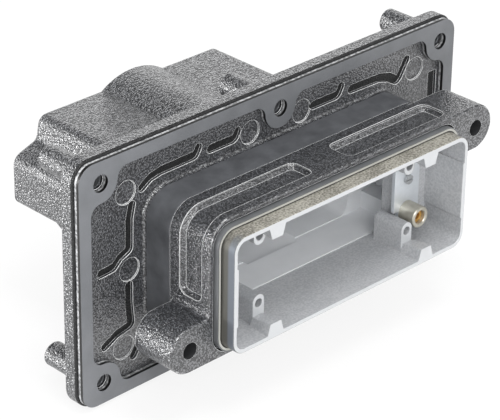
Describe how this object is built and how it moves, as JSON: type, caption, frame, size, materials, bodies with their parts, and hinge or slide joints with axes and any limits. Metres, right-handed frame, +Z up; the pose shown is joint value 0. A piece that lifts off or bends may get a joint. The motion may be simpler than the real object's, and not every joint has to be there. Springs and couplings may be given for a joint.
{
  "type": "heavy duty rectangular connector housing",
  "caption": "Black die-cast bulkhead connector housing: gasketed flange, collar with diagonal lugs, bare metal insert carrier with earth terminal, rear hood with round cable entry.",
  "frame": {"origin": "the collar's axis where it meets the flange's front face, the middle of the flange bolts", "axes": "+X along the flange, +Z up across it, -Y out of the connector's mouth along its axis"},
  "size_m": [0.1922, 0.1188, 0.0982],
  "materials": {
    "black_coat": "fine textured black powder coat on die-cast aluminium",
    "gasket_rubber": "smooth black",
    "seal_rubber": "satin dark grey",
    "bare_casting": "bare die casting with machined rim",
    "zinc_steel": "zinc plated",
    "plated_sheet": "bright plated sheet",
    "plated_sleeve": "turned and plated",
    "brass": "turned"
  },
  "bodies": {
    "root": {"housing": "black_coat", "flange_gasket": "gasket_rubber", "collar_seal": "seal_rubber", "carrier_frame": "bare_casting", "carrier_screws": "zinc_steel", "carrier_washers": "zinc_steel", "earth_bracket": "plated_sheet", "bracket_screw": "zinc_steel", "earth_sleeve": "plated_sleeve", "earth_clamp_screw": "brass"}
  },
  "joints": []
}
